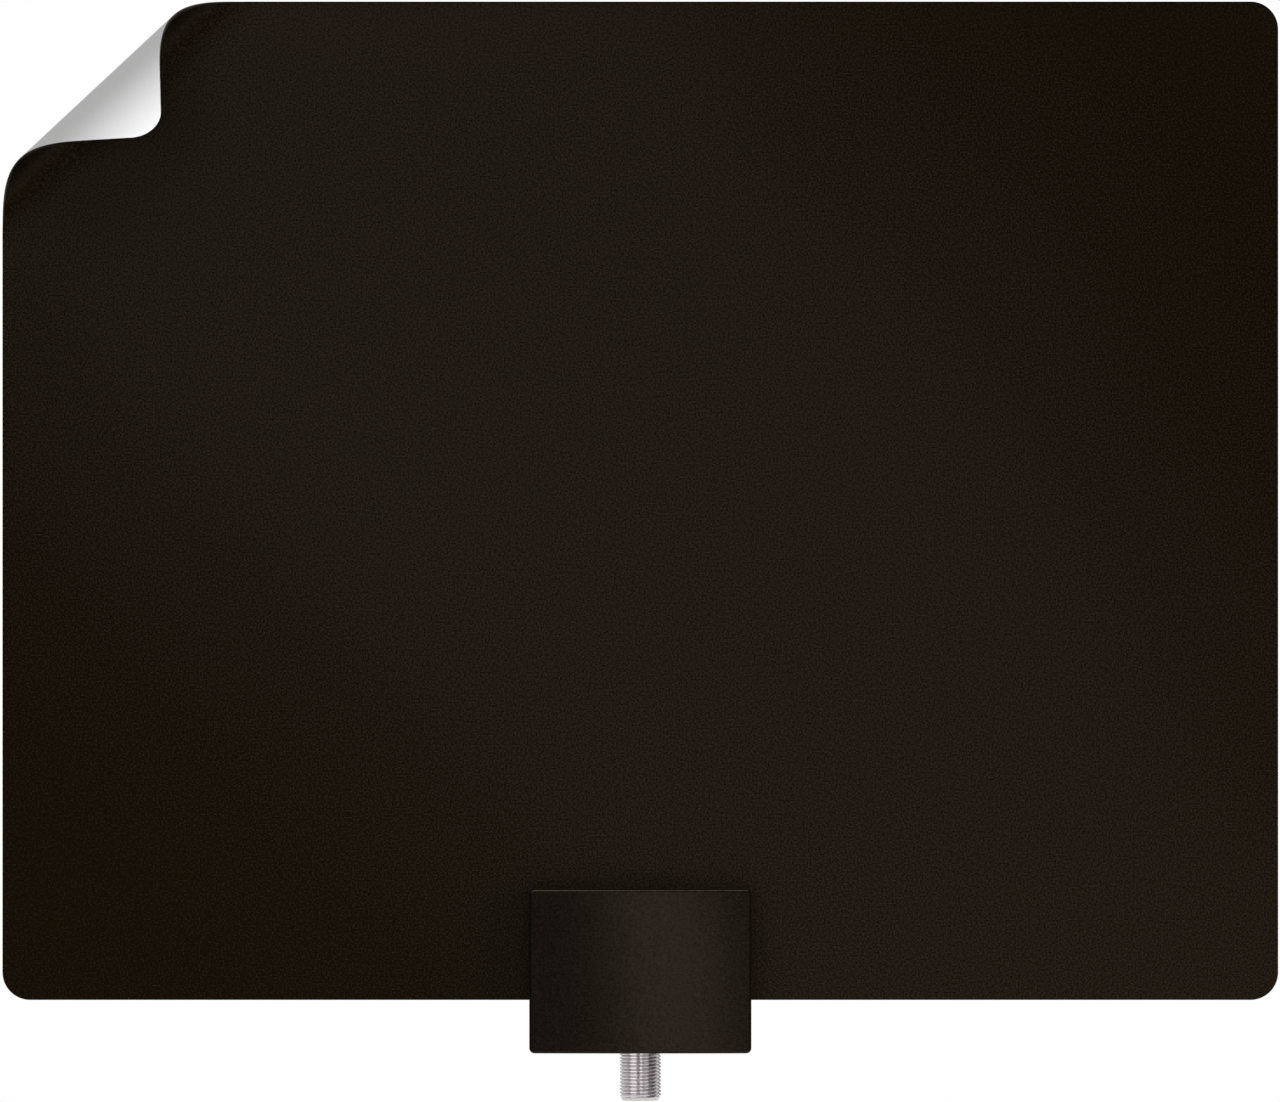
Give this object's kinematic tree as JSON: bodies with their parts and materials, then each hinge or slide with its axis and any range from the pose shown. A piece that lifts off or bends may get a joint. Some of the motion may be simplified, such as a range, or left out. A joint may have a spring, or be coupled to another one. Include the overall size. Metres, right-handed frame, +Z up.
{
  "type": "flat indoor tv antenna",
  "caption": "Thin flat indoor TV antenna: black film sheet backed in white, one corner rolled over, with a small module at its bottom edge and a threaded coaxial connector.",
  "frame": {"origin": "middle of the flat sheet's back face, the face that goes on the wall or window", "axes": "+Z up, away from the connector; the front faces -Y and +Y goes into the wall; +X to the right of someone who faces the front"},
  "size_m": [0.2922, 0.025, 0.2516],
  "materials": {
    "black_film": "matte film with a fine grain",
    "white_film": "smooth matte film",
    "foil": "thin foil",
    "black_housing": "moulded, fine spark texture",
    "board": "green solder mask",
    "brass": "bright",
    "ferrite": "sintered, dull",
    "copper_wire": "enamelled wire",
    "nickel": "bright nickel plate",
    "insulator": "natural white plastic"
  },
  "bodies": {
    "root": {"front_film": "black_film", "back_film": "white_film", "left_element": "foil", "right_element": "foil", "front_cover": "black_housing", "rear_cover": "black_housing", "circuit_board": "board", "left_feed_rivet": "brass", "right_feed_rivet": "brass", "balun_core": "ferrite", "balun_winding": "copper_wire", "connector_barrel": "nickel", "connector_insulator": "insulator", "center_contact": "brass"}
  },
  "joints": []
}
